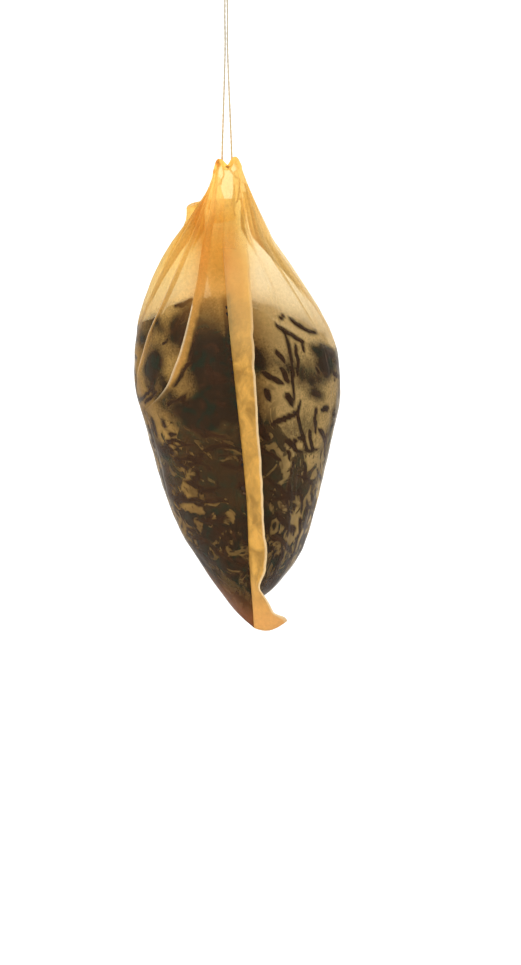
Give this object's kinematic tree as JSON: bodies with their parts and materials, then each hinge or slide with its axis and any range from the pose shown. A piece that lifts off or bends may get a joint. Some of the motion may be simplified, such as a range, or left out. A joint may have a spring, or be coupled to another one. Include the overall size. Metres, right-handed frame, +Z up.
{
  "type": "drawstring tea filter bag",
  "caption": "Filled filter-paper tea pouch, gathered shut at its mouth by a drawstring thread and hanging from the thread's loop, with heat-sealed side seams standing off it.",
  "frame": {"origin": "the top of the thread's loop, where the bag is held up", "axes": "+Z up, -Y towards the seam that faces the viewer, +X to the viewer's right"},
  "size_m": [0.0438, 0.0687, 0.1395],
  "materials": {
    "paper": "wet unbleached filter paper, thin enough to see through, soft satin",
    "leaf": "wet black tea leaf, dull with small highlights",
    "thread": "thin cotton thread, matt"
  },
  "bodies": {
    "root": {"filter_pouch": "paper", "tea_leaves": "leaf", "drawstring": "thread"}
  },
  "joints": []
}
